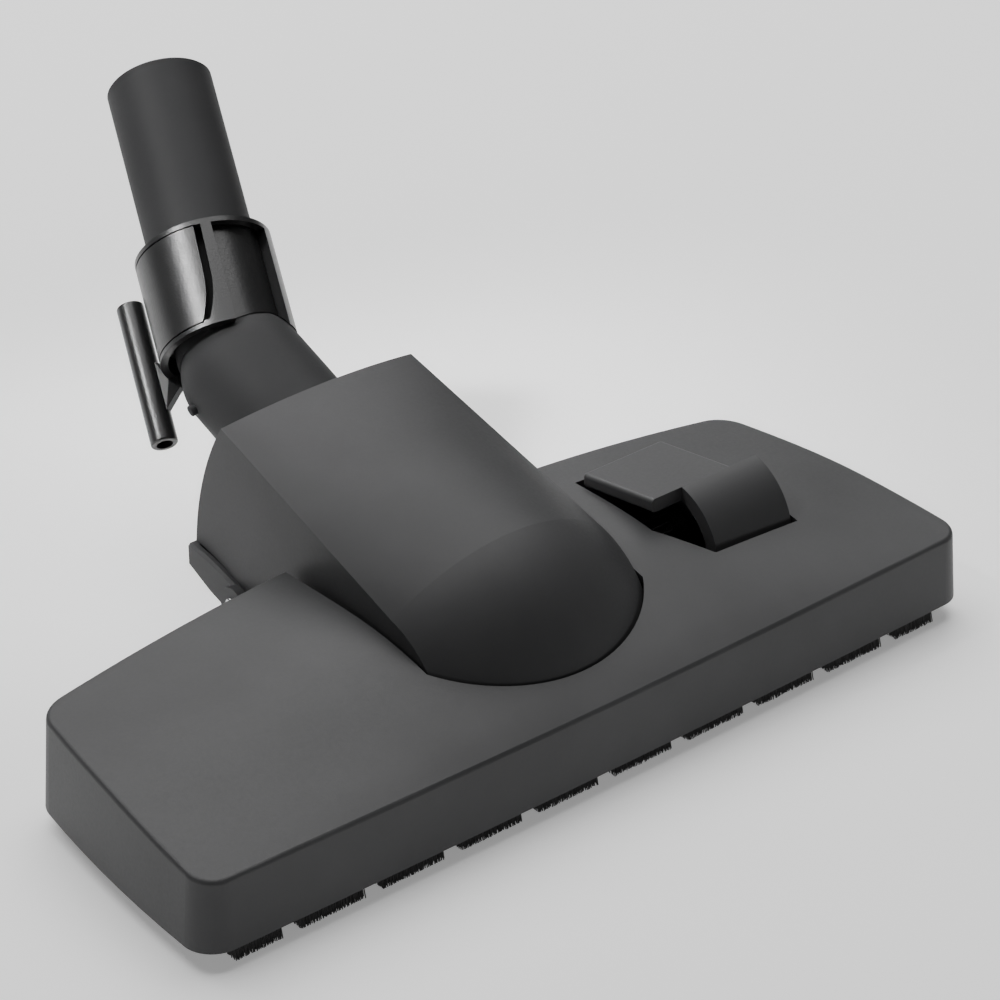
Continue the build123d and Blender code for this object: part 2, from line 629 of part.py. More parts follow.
def make_joint_base():
    """Lower half: proud band, axle bosses, wheel wells and screw posts."""
    low = base_low_line(0, 0, 0)
    wall = BASE_WALL
    outline = polygon_yz(low + [(low[-1][0], 60), (low[0][0], 60)], -BASE_HALF, BASE_HALF)
    ahead = SEAM[0][0] - 10
    under_seam = seam_slab([(BEYOND, BELOW), (ahead, BELOW), (ahead, SEAM[0][1] - SEAM_GAP / 2)],
                           -SEAM_GAP / 2)
    outer = outline & under_seam
    rim = outer.edges().filter_by(lambda e: abs(abs(e.center().X) - BASE_HALF) < 0.01 and e.length > 8)
    outer = chamfer(rim.filter_by(lambda e: e.center().Z > SEAM[1][1] - 6), BASE_EDGE_R)
    inside = base_low_line(wall, 4, wall)
    half = BASE_HALF - wall
    base = outer - polygon_yz(inside + [(inside[-1][0], 60), (inside[0][0], 60)], -half, half)
    well_half = RIB_HALF + WHEEL_GAP + WHEEL_WIDTH + WHEEL_GAP
    well_r = WHEEL_R + WHEEL_GAP
    roof = rod_x(well_r + WELL_WALL, AXLE_Y, WHEEL_R, -well_half - WELL_WALL, well_half + WELL_WALL)
    roof &= outline & (block((-60, 60), (60, REAR_ARC[0][0] - REAR_WALL - 0.3), (0, 60)) + under_seam)
    base += roof
    for x, y in JOINT_SCREWS:
        post = Pos(x, y, boss_top(y) - 15) * Cylinder(SCREW_BOSS_R, 30)
        base += both_sides(post & outline)
    base += both_sides(rod_x(BOSS_R, AXLE_Y, WHEEL_R, BASE_HALF - 1, BASE_HALF + BOSS_OUT))
    base -= both_sides(rod_x(well_r, AXLE_Y, WHEEL_R, RIB_HALF, well_half))
    base -= rod_x(AXLE_R + FIT, AXLE_Y, WHEEL_R, -60, 60)
    for x, y in JOINT_SCREWS:
        base -= both_sides(Pos(x, y, 20) * Cylinder(SCREW_R + FIT, 40))
        seat = boss_top(y) - SCREW_SEAT
        base -= both_sides(Pos(x, y, seat - 15) * Cylinder(SCREW_HEAD_R + 0.2, 30))
    base -= rod_x(SEAL_R + SEAL_GAP, PIVOT_Y, PIVOT_Z, -60, 60)
    return base


def make_wheel():
    """Wheel with rounded tread edges and a dished face on each side."""
    start = RIB_HALF + WHEEL_GAP
    wheel = rod_x(WHEEL_R, AXLE_Y, WHEEL_R, start, start + WHEEL_WIDTH)
    wheel = fillet(wheel.edges().filter_by(GeomType.CIRCLE), 1.6)
    for x0 in (start - 1, start + WHEEL_WIDTH - 2):
        dish = rod_x(WHEEL_R - 4, AXLE_Y, WHEEL_R, x0, x0 + 3)
        dish -= rod_x(AXLE_R + 3.0, AXLE_Y, WHEEL_R, x0 - 1, x0 + 4)
        wheel -= dish
    return wheel - rod_x(AXLE_R + FIT, AXLE_Y, WHEEL_R, 0, 40)


def make_wheel_axle():
    """Steel axle through both bosses, with domed ends."""
    axle = rod_x(AXLE_R, AXLE_Y, WHEEL_R, -AXLE_HALF, AXLE_HALF)
    return fillet(axle.edges().filter_by(GeomType.CIRCLE), 0.7)


def make_tilt_pin():
    """Pin that carries the joint cover's eye in the shell's boss."""
    start = COVER_HALF - COVER_WALL - 0.2
    end = COVER_HALF + POCKET_GAP + TILT_PIN_BOSS
    pin = rod_x(TILT_PIN_R, PIVOT_Y, PIVOT_Z, start, end)
    return fillet(pin.edges().filter_by(GeomType.CIRCLE), 0.4)


# Neck

def make_swivel_neck():
    """Elbow and spigot in one: journal, flange, ball-like bend, straight spigot."""
    flange_end = SOCKET_STEP - SOCKET_WEB - WASHER_THICKNESS - 2 * FIT
    foot = flange_end - FLANGE_THICKNESS
    neck = axis_ring(JOURNAL_R, 0, foot, SOCKET_STEP + SWIVEL_GAP + 0.5)
    neck += axis_ring(FLANGE_R, 0, foot, flange_end)
    neck += axis_ring(ELBOW_R, 0, SOCKET_STEP + SWIVEL_GAP, -BALL_DROP)
    ball = neck_axis_plane(-BALL_DROP).location
    neck += ball * Sphere(ELBOW_R)
    spigot = Pos(0, 0, SPIGOT_TOP / 2) * Cylinder(SPIGOT_R, SPIGOT_TOP)
    spigot = chamfer(spigot.edges().sort_by(Axis.Z)[-1], 0.6)
    spigot -= tube(SPIGOT_R + 1, SEAT_R, 0, COLLAR_TOP + SWIVEL_GAP)
    neck += SPIGOT.location * spigot
    stud_turn = neck_axis_plane(-BALL_DROP - 1).location * Rot(0, 0, STUD_ANGLE + 90)
    neck += stud_turn * Rot(0, 90, 0) * Pos(0, 0, ELBOW_R + STUD_OUT / 2 - 1) * Cylinder(STUD_R, STUD_OUT + 2)
    bore = JOURNAL_R - ELBOW_WALL
    neck -= axis_ring(bore, 0, foot - 1, -BALL_DROP)
    neck -= ball * Sphere(bore)
    inner = SPIGOT_R - SPIGOT_WALL
    neck -= SPIGOT.location * Pos(0, 0, SPIGOT_TOP / 2 - 2) * Cylinder(inner, SPIGOT_TOP + 6)
    return neck


def make_swivel_washer():
    """Slip ring between the neck's flange and the socket."""
    top = SOCKET_STEP - SOCKET_WEB - FIT
    return axis_ring(FLANGE_R, JOURNAL_R + SWIVEL_GAP / 2, top - WASHER_THICKNESS, top)


# Locking collar and latch

def ahead_of_button(lead):
    """Room in front of the button's swept edge, turned ahead by the lead."""
    low, high = COLLAR_BOTTOM - 2, COLLAR_TOP + 2
    bend = (low + high) / 2
    edges = [
        Polyline([(0, 0, bend), (0, 0.6, high), (0, 14, high), (0, 14, low), (0, -BUTTON_SWEEP, low)]),
        ThreePointArc((0, -BUTTON_SWEEP, low), (0, -BUTTON_SWEEP * 0.25, (low + bend) / 2), (0, 0, bend)),
    ]
    solid = extrude(make_face(edges), amount=20, dir=(1, 0, 0))
    return Rot(0, 0, FACING + BUTTON[1] + math.degrees(lead / COLLAR_R)) * Pos(8, 0, 0) * solid


def button_room(gap):
    """The latch button's part of the collar's wall, grown by the gap on every edge."""
    turn = math.degrees(gap / COLLAR_R)
    low = COLLAR_BOTTOM + BUTTON_BOTTOM - gap
    high = COLLAR_TOP - BUTTON_TOP + gap
    return wedge(FACING + BUTTON[0] - turn, FACING + RIB[1] - 1, low, high) - ahead_of_button(gap)


def make_latch_button():
    """Button flush with the collar, its front edge swept back towards its foot."""
    plate = tube(COLLAR_R, COLLAR_R - BUTTON_THICKNESS, 0, COLLAR_TOP) & button_room(0)
    return SPIGOT.location * plate


def make_locking_collar():
    """Sleeve with a window, a rib, the latch's seat and the tubular parking hook."""
    inner = COLLAR_R - COLLAR_WALL
    back = FACING + WINDOW_END
    button_start = FACING + 360 + BUTTON[0]
    under_rim = COLLAR_TOP - COLLAR_RIM
    collar = tube(COLLAR_R, inner, COLLAR_BOTTOM, COLLAR_TOP)
    collar -= wedge(FACING + RIB[1], back, 0, under_rim)
    rib_room = wedge(FACING + BUTTON[1] - 14, FACING + RIB[1], COLLAR_BOTTOM, under_rim)
    rib_room = rib_room & ahead_of_button(RIB_LEAD)
    between = wedge(FACING + BUTTON[0] - 3, FACING + RIB[1] - 1, COLLAR_BOTTOM + BUTTON_BOTTOM, under_rim)
    collar -= button_room(BUTTON_GAP)
    start_turn = math.degrees(BUTTON_START_GAP / COLLAR_R)
    collar -= wedge(FACING + BUTTON[0] - start_turn, FACING + BUTTON[0],
                    COLLAR_BOTTOM + BUTTON_BOTTOM - BUTTON_GAP, COLLAR_TOP - BUTTON_TOP + BUTTON_GAP)
    behind_button = wedge(FACING + BUTTON[0] - 4, FACING + BUTTON[1] - 14, 0, 60)
    collar -= between - ahead_of_button(RIB_LEAD) - behind_button
    wand = SPIGOT_R + WAND_WALL
    collar += tube(inner + 0.4, wand, COLLAR_BOTTOM, under_rim) & rib_room
    collar += around(inner + 0.4, wand, back, back + SIDE_WALL_TURN, COLLAR_BOTTOM, under_rim)
    collar += around(wand + 0.2, SEAT_R + FIT, FACING + RIB[1] - 3, back + 3, COLLAR_BOTTOM, under_rim)
    collar += around(inner + 0.4, SEAT_R + FIT, back + 1, button_start - 4, *COLLAR_SEAT)
    radial = Rot(0, 0, HOOK_ANGLE)
    fin = [(HOOK_OFFSET - HOOK_R + 1, -8.0), (HOOK_OFFSET - HOOK_R + 1, FIN_TOP + 3), (COLLAR_R - 0.6, FIN_TOP),
           (COLLAR_R - 0.6, COLLAR_BOTTOM), (COLLAR_R - 3, COLLAR_BOTTOM), (COLLAR_R - 3, -2.5)]
    plate = make_face(Polyline([(r, 0, h) for r, h in fin], close=True))
    collar += radial * Pos(0, FIN_THICKNESS / 2, 0) * extrude(plate, amount=FIN_THICKNESS, dir=(0, -1, 0))
    length = HOOK_TOP - HOOK_BOTTOM
    rod = Cylinder(HOOK_R, length)
    rod = fillet(rod.edges().filter_by(GeomType.CIRCLE), 0.6)
    hook_place = radial * Pos(HOOK_OFFSET, 0, (HOOK_TOP + HOOK_BOTTOM) / 2)
    collar += hook_place * rod
    collar -= hook_place * Cylinder(HOOK_BORE, length + 2)
    bend = math.radians(NECK_BEND)
    ball = Pos(BALL_DROP * math.sin(bend), 0, -BALL_DROP * math.cos(bend))
    collar -= ball * Sphere(ELBOW_R + SWIVEL_GAP)
    return SPIGOT.location * collar


def make_latch_spring():
    """Leaf under the button, its bent tips standing off the spigot."""
    middle = FACING + PRESS_ANGLE
    height = (COLLAR_BOTTOM + COLLAR_TOP) / 2
    outer = COLLAR_R - BUTTON_THICKNESS - FIT
    low, high = height - LATCH_LEAF_WIDTH / 2, height + LATCH_LEAF_WIDTH / 2
    leaf = around(outer, outer - LEAF, middle - LATCH_LEAF_TURN, middle + LATCH_LEAF_TURN, low, high)
    for turn in (-LATCH_LEAF_TURN, LATCH_LEAF_TURN - 3):
        leaf += around(outer - 0.1, outer - LATCH_TIP, middle + turn, middle + turn + 3, low, high)
    return SPIGOT.location * leaf


# Pedal

def make_pedal():
    """Rocker: flat rear plate, arched front, hub on the pin and the arm to the lift frame."""
    t = PEDAL_THICKNESS
    (ry, rz), (gy, gz), (my, mz), (fy, fz) = PEDAL_REAR, PEDAL_RIDGE, PEDAL_ARCH_MID, PEDAL_FRONT
    plate = polygon_yz([(ry, rz), (gy, gz), (gy, gz - t), (ry, rz - t)], *PEDAL_PLATE_X)
    plate = fillet(plate.edges().filter_by(lambda e: e.center().Y > gy + 1), PEDAL_EDGE_R)
    edges = [
        ThreePointArc((0, gy, gz), (0, my, mz), (0, fy, fz)),
        Line((0, fy, fz), (0, fy + t, fz)),
        ThreePointArc((0, fy + t, fz), (0, my + 0.72 * t, mz - 0.7 * t), (0, gy, gz - t)),
        Line((0, gy, gz - t), (0, gy, gz)),
    ]
    arch = Pos(PEDAL_ARCH_X[0], 0, 0) * extrude(make_face(edges), amount=PEDAL_ARCH_X[1] - PEDAL_ARCH_X[0],
                                                dir=(1, 0, 0))
    hub = rod_x(PEDAL_HUB_R, PEDAL_PIN_Y, PEDAL_PIN_Z, *PEDAL_HUB_X)
    web = polygon_yz([(PEDAL_PIN_Y - 4, PEDAL_PIN_Z), (PEDAL_PIN_Y + 4, PEDAL_PIN_Z),
                      (PEDAL_PIN_Y + 7, gz - 1.2 * t), (gy - 2, gz - t)], PEDAL_HUB_X[0] + 2, PEDAL_HUB_X[1])
    arm_t = ARM_THICKNESS
    arm = polygon_yz([(PEDAL_PIN_Y + 1, PEDAL_PIN_Z - 3.6), (PEDAL_PIN_Y - 4, PEDAL_PIN_Z + 1),
                      (ARM_TIP_Y + 4.3, ARM_TIP_Z + arm_t), (ARM_TIP_Y, ARM_TIP_Z + arm_t),
                      (ARM_TIP_Y, ARM_TIP_Z), (ARM_TIP_Y + 5, ARM_TIP_Z)], *ARM_X)
    pedal = plate + arch + hub + web + arm
    return pedal - rod_x(PEDAL_PIN_R + FIT, PEDAL_PIN_Y, PEDAL_PIN_Z, 60, 110)


def make_pedal_pin():
    """Steel pin through the walls of the opening."""
    pin = rod_x(PEDAL_PIN_R, PEDAL_PIN_Y, PEDAL_PIN_Z, *PEDAL_PIN_X)
    return fillet(pin.edges().filter_by(GeomType.CIRCLE), 0.3)


def make_detent_spring():
    """Leaf on the tunnel's roof whose nose rides under the pedal's hub."""
    foot = TUNNEL_TOP
    t = LEAF
    nose_z = PEDAL_PIN_Z - PEDAL_HUB_R - 0.3
    path = [(34.0, foot + t / 2), (42.0, foot + t / 2), (PEDAL_PIN_Y - 1, nose_z - t / 2),
            (PEDAL_PIN_Y + 1, nose_z - t / 2), (PEDAL_PIN_Y + 6, nose_z - 4)]
    upper = [(y, z + t / 2) for y, z in path]
    lower = [(y, z - t / 2) for y, z in path][::-1]
    return polygon_yz(upper + lower, *SPRING_X)


def build_pieces():
    """Every piece by its name, in the building frame."""
    made = {
        "upper_shell": make_upper_shell(),
        "sole_plate": make_sole_plate(),
        "suction_duct": make_suction_duct(),
        "duct_seal": make_duct_seal(),
        "front_lint_strips": make_lint_strips(MOUTH_Y[0] - 2 - LINT_WIDTH, MOUTH_Y[0] - 2),
        "rear_lint_strips": make_lint_strips(MOUTH_Y[1] + 2, MOUTH_Y[1] + 2 + LINT_WIDTH),
        "shell_screws": screw_set([screw(x, y, SOLE_BOTTOM + SCREW_HEAD_H + 0.1, SCREW_BITE)
                                   for x, y in SHELL_SCREWS]),
        "front_bristles": make_bristles(FRONT_BRISTLE_Y, FRONT_BRISTLE_END),
        "rear_bristles": make_bristles(REAR_BRISTLE_Y, REAR_BRISTLE_END),
        "lift_frame": make_lift_frame(),
        "pedal": make_pedal(),
        "pedal_pin": make_pedal_pin(),
        "detent_spring": make_detent_spring(),
        "joint_cover": make_joint_cover(),
        "joint_base": make_joint_base(),
        "joint_screws": screw_set([screw(x, y, boss_top(y) - SCREW_SEAT, SCREW_SEAT + SCREW_BITE - 1)
                                   for x, y in JOINT_SCREWS]),
        "wheel_axle": make_wheel_axle(),
        "wheel_right": make_wheel(),
        "tilt_pin_right": make_tilt_pin(),
        "swivel_neck": make_swivel_neck(),
        "swivel_washer": make_swivel_washer(),
        "locking_collar": make_locking_collar(),
        "latch_button": make_latch_button(),
        "latch_spring": make_latch_spring(),
    }
    made["wheel_left"] = mirror(made["wheel_right"], about=Plane.YZ)
    made["tilt_pin_left"] = mirror(made["tilt_pin_right"], about=Plane.YZ)
    return made


def footprint_middle(made):
    """Y of the middle of the whole part's footprint."""
    boxes = [piece.bounding_box() for piece in made.values()]
    return (min(b.min.Y for b in boxes) + max(b.max.Y for b in boxes)) / 2


def place(point, shift):
    """A point of the building frame in the part's own frame, in metres."""
    return [round(v / 1000, 6) for v in (point[0], point[1] - shift, point[2])]


def main():
    """Build every piece, write its STEP file and print the places that joints and mounts use."""
    os.makedirs("parts", exist_ok=True)
    made = build_pieces()
    shift = footprint_middle(made)
    for name, piece in made.items():
        moved = Pos(0, -shift, 0) * piece
        moved.label = name
        export_step(moved, f"parts/{name}.step")
    top = SPIGOT.origin + SPIGOT.z_dir * SPIGOT_TOP
    middle = math.radians(FACING + PRESS_ANGLE)
    press = SPIGOT.x_dir * -math.cos(middle) - SPIGOT.y_dir * math.sin(middle)
    print("shift", round(shift, 4))
    print("tilt pivot", place((0, PIVOT_Y, PIVOT_Z), shift))
    print("axle", place((0, AXLE_Y, WHEEL_R), shift))
    print("pedal pin", place((0, PEDAL_PIN_Y, PEDAL_PIN_Z), shift))
    print("swivel", place(tuple(SPIGOT.origin), shift), tuple(neck_axis_plane(0).z_dir))
    print("spigot top", place(tuple(top), shift), tuple(SPIGOT.z_dir))
    print("button press", tuple(press))


if __name__ == "__main__":
    main()
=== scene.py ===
"""Looks of a vacuum cleaner's floor brush head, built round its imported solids."""

from __future__ import annotations

import logging
import math
import random
from dataclasses import dataclass
from enum import Enum

import bmesh
import bpy
from mathutils import Matrix, Quaternion, Vector

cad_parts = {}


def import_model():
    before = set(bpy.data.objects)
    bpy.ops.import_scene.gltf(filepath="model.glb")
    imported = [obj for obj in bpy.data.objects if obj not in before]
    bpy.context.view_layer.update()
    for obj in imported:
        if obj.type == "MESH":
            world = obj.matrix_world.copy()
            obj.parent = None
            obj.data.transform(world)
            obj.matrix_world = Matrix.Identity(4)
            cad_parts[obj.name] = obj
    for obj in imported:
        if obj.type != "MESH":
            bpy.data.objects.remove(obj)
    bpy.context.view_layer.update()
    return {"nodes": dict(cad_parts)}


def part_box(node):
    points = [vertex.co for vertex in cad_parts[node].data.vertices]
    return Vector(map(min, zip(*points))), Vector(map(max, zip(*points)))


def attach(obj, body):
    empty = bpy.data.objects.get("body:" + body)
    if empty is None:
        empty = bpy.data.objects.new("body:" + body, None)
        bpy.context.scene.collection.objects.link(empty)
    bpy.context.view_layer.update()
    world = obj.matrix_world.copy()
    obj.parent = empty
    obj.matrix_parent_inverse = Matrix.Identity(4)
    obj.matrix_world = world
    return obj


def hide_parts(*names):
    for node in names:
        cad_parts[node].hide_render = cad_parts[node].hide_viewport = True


log = logging.getLogger("brush_head")

MM = 0.001
SWIVEL_POINT = Vector((0.0, 0.043579, 0.0678))
SPIGOT_WAY = Vector((0.318455, 0.750393, 0.579220))


class Slot(Enum):
    """Material slots of the record, by name; no piece here takes its finish from them."""

    BRISTLE = "bristle"
    LINT = "lint_pile"
    NECK = "neck_plastic"
    COLLAR = "collar_plastic"


class NodeTree:
    """Short way to add and join the nodes of one material."""

    def __init__(self, name: str) -> None:
        """Start an empty material with its output and coordinates.

        Args:
            name: Name of the material.
        """
        self.material = bpy.data.materials.new(name)
        self.material.use_nodes = True
        self.nodes = self.material.node_tree.nodes
        self.links = self.material.node_tree.links
        self.nodes.clear()
        self.output = self.nodes.new("ShaderNodeOutputMaterial")
        self.shader = self.nodes.new("ShaderNodeBsdfPrincipled")
        self.links.new(self.shader.outputs["BSDF"], self.output.inputs["Surface"])
        self.place = self.nodes.new("ShaderNodeTexCoord").outputs["Object"]

    def noise(self, scale: float, detail: float,
              stretch: tuple[float, float, float] = (1, 1, 1)) -> bpy.types.NodeSocket:
        """Add a noise on object coordinates.

        Args:
            scale: Noise cells per metre.
            detail: Octaves of the noise.
            stretch: Extra scale along X, Y and Z.

        Returns:
            The noise's factor socket.
        """
        mapping = self.nodes.new("ShaderNodeMapping")
        mapping.inputs["Scale"].default_value = stretch
        self.links.new(self.place, mapping.inputs["Vector"])
        node = self.nodes.new("ShaderNodeTexNoise")
        node.inputs["Scale"].default_value = scale
        node.inputs["Detail"].default_value = detail
        self.links.new(mapping.outputs["Vector"], node.inputs["Vector"])
        return node.outputs["Fac"]

    def cells(self, scale: float) -> bpy.types.NodeSocket:
        """Add smooth cell distances, which read as a moulded leather-like grain.

        Args:
            scale: Cells per metre.

        Returns:
            The distance socket.
        """
        node = self.nodes.new("ShaderNodeTexVoronoi")
        node.feature = "SMOOTH_F1"
        node.inputs["Scale"].default_value = scale
        self.links.new(self.place, node.inputs["Vector"])
        return node.outputs["Distance"]

    def ramp(self, source: bpy.types.NodeSocket, low: tuple[float, ...], high: tuple[float, ...],
             start: float = 0.3, end: float = 0.7) -> bpy.types.NodeSocket:
        """Colour a factor between two tones.

        Args:
            source: Factor socket.
            low: Colour at the start.
            high: Colour at the end.
            start: Factor where the first colour ends.
            end: Factor where the second colour begins.

        Returns:
            The colour socket.
        """
        node = self.nodes.new("ShaderNodeValToRGB")
        node.color_ramp.elements[0].position = start
        node.color_ramp.elements[0].color = (*low[:3], 1.0)
        node.color_ramp.elements[1].position = end
        node.color_ramp.elements[1].color = (*high[:3], 1.0)
        self.links.new(source, node.inputs["Fac"])
        return node.outputs["Color"]

    def span(self, source: bpy.types.NodeSocket, low: float, high: float) -> bpy.types.NodeSocket:
        """Map a factor from 0 to 1 to another range.

        Args:
            source: Factor socket.
            low: Value at 0.
            high: Value at 1.

        Returns:
            The mapped socket.
        """
        node = self.nodes.new("ShaderNodeMapRange")
        node.inputs["To Min"].default_value = low
        node.inputs["To Max"].default_value = high
        self.links.new(source, node.inputs["Value"])
        return node.outputs["Result"]

    def bump(self, height: bpy.types.NodeSocket, depth: float, strength: float,
             before: bpy.types.NodeSocket | None = None) -> bpy.types.NodeSocket:
        """Add a bump, after another one if given.

        Args:
            height: Height socket.
            depth: Distance of a full height, in metres.
            strength: Strength of the bump.
            before: Normal socket of an earlier bump.

        Returns:
            The normal socket.
        """
        node = self.nodes.new("ShaderNodeBump")
        node.inputs["Distance"].default_value = depth
        node.inputs["Strength"].default_value = strength
        self.links.new(height, node.inputs["Height"])
        if before is not None:
            self.links.new(before, node.inputs["Normal"])
        return node.outputs["Normal"]

    def feed(self, socket: str, source: bpy.types.NodeSocket) -> None:
        """Join a socket to an input of the shader."""
        self.links.new(source, self.shader.inputs[socket])

    def set(self, socket: str, value: float | tuple[float, ...]) -> None:
        """Set a plain value on the shader."""
        self.shader.inputs[socket].default_value = value


@dataclass(frozen=True)
class MouldedPlastic:
    """Through-coloured plastic from a sparked or satin mould."""

    name: str
    tone: float
    roughness: float
    grain: float = 2600.0
    grain_depth: float = 0.02
    grain_strength: float = 0.35
    mottle: float = 0.12
    specular: float = 0.5

    def make(self) -> bpy.types.Material:
        """Build the material.

        Returns:
            The material.
        """
        tree = NodeTree(self.name)
        low, high = self.tone * (1 - self.mottle), self.tone * (1 + self.mottle)
        cloud = tree.noise(28.0, 4.0)
        tree.feed("Base Color", tree.ramp(cloud, (low, low, low * 1.03), (high, high, high * 1.03)))
        speck = tree.noise(self.grain * 0.4, 3.0)
        tree.feed("Roughness", tree.span(speck, self.roughness - 0.07, self.roughness + 0.07))
        fine = tree.bump(tree.cells(self.grain), self.grain_depth * MM, self.grain_strength)
        tree.feed("Normal", tree.bump(tree.noise(self.grain * 1.7, 2.0), self.grain_depth * MM,
                                      self.grain_strength * 0.6, fine))
        tree.set("Specular IOR Level", self.specular)
        return tree.material


@dataclass(frozen=True)
class TurnedSteel:
    """Bright steel with fine marks of turning across the axis."""

    name: str
    tone: float = 0.62
    roughness: float = 0.22
    marks: tuple[float, float, float] = (12.0, 1.0, 1.0)

    def make(self) -> bpy.types.Material:
        """Build the material.

        Returns:
            The material.
        """
        tree = NodeTree(self.name)
        tree.set("Metallic", 1.0)
        lines = tree.noise(900.0, 3.0, self.marks)
        tree.feed("Base Color", tree.ramp(lines, (self.tone * 0.8,) * 3, (self.tone * 1.1,) * 3))
        tree.feed("Roughness", tree.span(lines, self.roughness - 0.06, self.roughness + 0.1))
        tree.feed("Normal", tree.bump(lines, 0.004 * MM, 0.4))
        return tree.material


@dataclass(frozen=True)
class SoftRubber:
    """Matt rubber with a dusty bloom."""

    name: str
    tone: float = 0.02
    roughness: float = 0.75

    def make(self) -> bpy.types.Material:
        """Build the material.

        Returns:
            The material.
        """
        tree = NodeTree(self.name)
        bloom = tree.noise(60.0, 5.0)
        tree.feed("Base Color", tree.ramp(bloom, (self.tone * 0.8,) * 3, (self.tone * 1.6,) * 3))
        tree.feed("Roughness", tree.span(tree.noise(700.0, 3.0), self.roughness - 0.1, self.roughness + 0.1))
        tree.feed("Normal", tree.bump(tree.noise(1800.0, 3.0), 0.03 * MM, 0.4))
        tree.set("Specular IOR Level", 0.35)
        return tree.material


@dataclass(frozen=True)
class Filament:
    """Crimped synthetic filaments, each a little different in tone."""

    name: str
    tone: float = 0.014
    roughness: float = 0.5

    def make(self) -> bpy.types.Material:
        """Build the material.

        Returns:
            The material.
        """
        tree = NodeTree(self.name)
        strands = tree.noise(1500.0, 2.0, (1.0, 1.0, 0.06))
        tree.feed("Base Color", tree.ramp(strands, (self.tone * 0.4,) * 3, (self.tone * 2.4,) * 3))
        tree.feed("Roughness", tree.span(strands, self.roughness - 0.12, self.roughness + 0.15))
        tree.feed("Normal", tree.bump(tree.noise(5000.0, 1.0, (1.0, 1.0, 0.1)), 0.02 * MM, 0.3))
        return tree.material


@dataclass(frozen=True)
class PileTape:
    """Short slanted pile of a lint tape."""

    name: str
    tone: tuple[float, float, float] = (0.16, 0.012, 0.014)

    def make(self) -> bpy.types.Material:
        """Build the material.

        Returns:
            The material.
        """
        tree = NodeTree(self.name)
        pile = tree.noise(2600.0, 4.0, (1.0, 0.35, 1.0))
        dark = tuple(c * 0.35 for c in self.tone)
        tree.feed("Base Color", tree.ramp(pile, dark, self.tone))
        tree.set("Roughness", 0.95)
        tree.set("Specular IOR Level", 0.15)
        tree.set("Sheen Weight", 0.5)
        tree.feed("Normal", tree.bump(pile, 0.25 * MM, 0.8))
        return tree.material


@dataclass
class CarriedSolids:
    """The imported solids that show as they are, and the finish of each."""

    shell: MouldedPlastic = MouldedPlastic("shell_charcoal", tone=0.046, roughness=0.5, specular=0.3)
    joint: MouldedPlastic = MouldedPlastic("joint_charcoal", tone=0.041, roughness=0.5, specular=0.22)
    pedal: MouldedPlastic = MouldedPlastic("pedal_charcoal", tone=0.046, roughness=0.46, grain_strength=0.25,
                                           mottle=0.08, specular=0.36)
    neck: MouldedPlastic = MouldedPlastic("neck_charcoal", tone=0.03, roughness=0.6, grain_strength=0.22,
                                          specular=0.12)
    collar: MouldedPlastic = MouldedPlastic("collar_black", tone=0.012, roughness=0.34, grain=1500.0,
                                            grain_depth=0.04, grain_strength=0.6, mottle=0.2, specular=0.6)
    # Darker, duller finish of the collar's inner walls, cut faces and liner: painted shade.
    collar_inside_shade: MouldedPlastic = MouldedPlastic("collar_inside_painted_shade", tone=0.01, roughness=0.7, mottle=0.2,
                                                   specular=0.08)
    inner: MouldedPlastic = MouldedPlastic("inner_black", tone=0.03, roughness=0.55)
    steel: TurnedSteel = TurnedSteel("bright_pin")
    spring: TurnedSteel = TurnedSteel("spring_strip", tone=0.5, roughness=0.3)
    rubber: SoftRubber = SoftRubber("seal_rubber")
    tread: SoftRubber = SoftRubber("wheel_tread", tone=0.03, roughness=0.65)

    def dress(self, nodes: dict[str, bpy.types.Object]) -> dict[str, bpy.types.Material]:
        """Give every carried node its finish.

        Args:
            nodes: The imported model's nodes by name.

        Returns:
            The materials by name.
        """
        made = {}
        wanted = {
            self.shell: ["upper_shell"],
            self.pedal: ["pedal"],
            self.joint: ["joint_cover", "joint_base"],
            self.neck: ["swivel_neck"],
            self.collar: ["locking_collar", "latch_button"],
            self.inner: ["sole_plate", "suction_duct", "lift_frame", "swivel_washer", "front_bristles",
                         "rear_bristles", "front_lint_strips", "rear_lint_strips"],
            self.steel: ["shell_screws", "pedal_pin", "joint_screws", "wheel_axle", "tilt_pin_right",
                         "tilt_pin_left"],
            self.spring: ["detent_spring", "latch_spring"],
            self.rubber: ["duct_seal"],
            self.tread: ["wheel_right", "wheel_left"],
        }
        for finish, names in wanted.items():
            material = made[finish.name] = finish.make()
            for name in names:
                data = nodes[name].data
                data.materials.clear()
                data.materials.append(material)
            log.info("finish %s on %s", finish.name, ", ".join(names))
        return made


def place(mesh: bmesh.types.BMesh, name: str, materials: list[bpy.types.Material]) -> bpy.types.Object:
    """Make an object of a finished mesh.

    Args:
        mesh: The mesh, which is used up.
        name: Name of the piece.
        materials: Its finishes, in the order of its faces' numbers.

    Returns:
        The object.
    """
    data = bpy.data.meshes.new(name)
    mesh.to_mesh(data)
    mesh.free()
    for material in materials:
        data.materials.append(material)
    piece = bpy.data.objects.new(name, data)
    bpy.context.scene.collection.objects.link(piece)
    log.info("%s: %d faces", name, len(data.polygons))
    return piece


